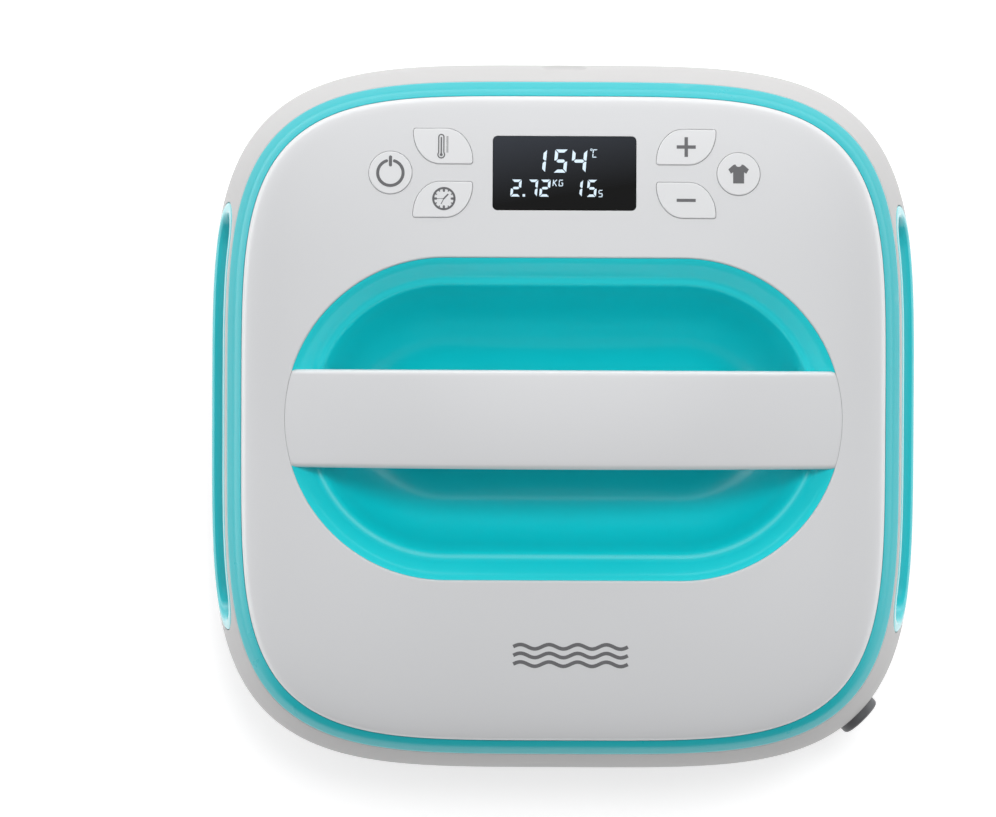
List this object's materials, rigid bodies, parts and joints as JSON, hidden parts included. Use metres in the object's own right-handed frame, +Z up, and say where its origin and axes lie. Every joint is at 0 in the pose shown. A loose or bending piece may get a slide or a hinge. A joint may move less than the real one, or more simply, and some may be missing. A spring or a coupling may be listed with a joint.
{
  "type": "heat press",
  "caption": "Hand-held square-round heat press with a heated plate, a bridge handle over a bowl-shaped grip recess, side finger grips, a display and push buttons.",
  "frame": {"origin": "centre of the heat plate's working face, on the vertical axis through the middle of the body; this is the bottom centre of the bounding box", "axes": "+Z up, out of the top cover; +Y towards the rear, where the control panel is; +X towards the right of a user standing at the front"},
  "size_m": [0.3, 0.3, 0.119],
  "materials": {
    "white_shell": "glossy white moulded shell",
    "teal_shell": "satin teal moulded trim",
    "grey_skirt": "heat-resistant grey moulding, fine texture",
    "dark_screws": "black oxide",
    "zinc_screws": "zinc plated",
    "sheet_steel": "galvanised sheet",
    "cell_alloy": "stamped spring steel with a strain gauge",
    "display_glass": "dark tinted window",
    "lcd_black": "display module with back light",
    "circuit_board": "solder mask",
    "switch_black": "moulded black",
    "relay_blue": "moulded case",
    "heatsink": "extruded",
    "winding_yellow": "taped winding",
    "fuse_glass": "clips and capped tube",
    "terminal_ivory": "moulded block",
    "standoff_brass": "turned",
    "gland_grey": "dark grey, satin",
    "gland_nut_black": "moulded nylon",
    "ribbon_grey": "flat cable",
    "nonstick_plate": "dark non-stick coating, satin",
    "element_sheath": "heat-tinted steel sheath",
    "lead_sleeve": "braided glass sleeve",
    "fibre_pad": "needled ceramic fibre",
    "ceramic_white": "steatite",
    "sensor_steel": "drawn steel",
    "silicone_pad": "high temperature silicone",
    "button_white": "glossy white key cap"
  },
  "bodies": {
    "press": {"lower_housing": "white_shell", "accent_ring": "teal_shell", "top_cover": "white_shell", "grip_recess": "teal_shell", "handle_cover": "white_shell", "handle_base": "white_shell", "handle_screws": "dark_screws", "left_side_grip": "teal_shell", "right_side_grip": "teal_shell", "base_skirt": "grey_skirt", "skirt_screws": "dark_screws", "chassis_plate": "sheet_steel", "chassis_screws": "dark_screws", "front_left_load_cell": "cell_alloy", "front_right_load_cell": "cell_alloy", "rear_left_load_cell": "cell_alloy", "rear_right_load_cell": "cell_alloy", "display_window": "display_glass", "lcd_module": "lcd_black", "control_board": "circuit_board", "tact_switches": "switch_black", "buzzer": "switch_black", "control_board_screws": "zinc_screws", "power_board": "circuit_board", "relay": "relay_blue", "triac_heatsink": "heatsink", "transformer": "winding_yellow", "fuse": "fuse_glass", "terminal_block": "terminal_ivory", "board_standoffs": "standoff_brass", "power_board_screws": "zinc_screws", "cord_gland": "gland_grey", "gland_nut": "gland_nut_black", "cord_clamp": "gland_nut_black", "clamp_screws": "zinc_screws", "ribbon_cable": "ribbon_grey"},
    "plate": {"heat_plate": "nonstick_plate", "heating_element": "element_sheath", "heater_leads": "lead_sleeve", "element_straps": "sheet_steel", "strap_screws": "dark_screws", "insulation_pad": "fibre_pad", "heat_shield": "sheet_steel", "plate_standoffs": "ceramic_white", "plate_screws": "dark_screws", "thermal_cutout": "switch_black", "temperature_sensor": "sensor_steel", "load_pads": "silicone_pad"},
    "power_key": {"power_button": "button_white", "power_plunger": "switch_black"},
    "temperature_key": {"temperature_button": "button_white", "temperature_plunger": "switch_black"},
    "timer_key": {"timer_button": "button_white", "timer_plunger": "switch_black"},
    "plus_key": {"plus_button": "button_white", "plus_plunger": "switch_black"},
    "minus_key": {"minus_button": "button_white", "minus_plunger": "switch_black"},
    "preset_key": {"preset_button": "button_white", "preset_plunger": "switch_black"}
  },
  "joints": [
    {"name": "plate_float", "type": "slide", "parent": "press", "child": "plate", "axis": [0, 0, 1], "range_m": [0, 0.0005], "stiffness_N_per_m": 150000, "deforming": ["load_pads"]},
    {"name": "power_press", "type": "slide", "parent": "press", "child": "power_key", "axis": [0, -0.0902, -0.9959], "range_m": [0, 0.0005], "stiffness_N_per_m": 2500, "springref_m": -0.0001},
    {"name": "temperature_press", "type": "slide", "parent": "press", "child": "temperature_key", "axis": [0, -0.0902, -0.9959], "range_m": [0, 0.0005], "stiffness_N_per_m": 2500, "springref_m": -0.0001},
    {"name": "timer_press", "type": "slide", "parent": "press", "child": "timer_key", "axis": [0, -0.0902, -0.9959], "range_m": [0, 0.0005], "stiffness_N_per_m": 2500, "springref_m": -0.0001},
    {"name": "plus_press", "type": "slide", "parent": "press", "child": "plus_key", "axis": [0, -0.0902, -0.9959], "range_m": [0, 0.0005], "stiffness_N_per_m": 2500, "springref_m": -0.0001},
    {"name": "minus_press", "type": "slide", "parent": "press", "child": "minus_key", "axis": [0, -0.0902, -0.9959], "range_m": [0, 0.0005], "stiffness_N_per_m": 2500, "springref_m": -0.0001},
    {"name": "preset_press", "type": "slide", "parent": "press", "child": "preset_key", "axis": [0, -0.0902, -0.9959], "range_m": [0, 0.0005], "stiffness_N_per_m": 2500, "springref_m": -0.0001}
  ]
}
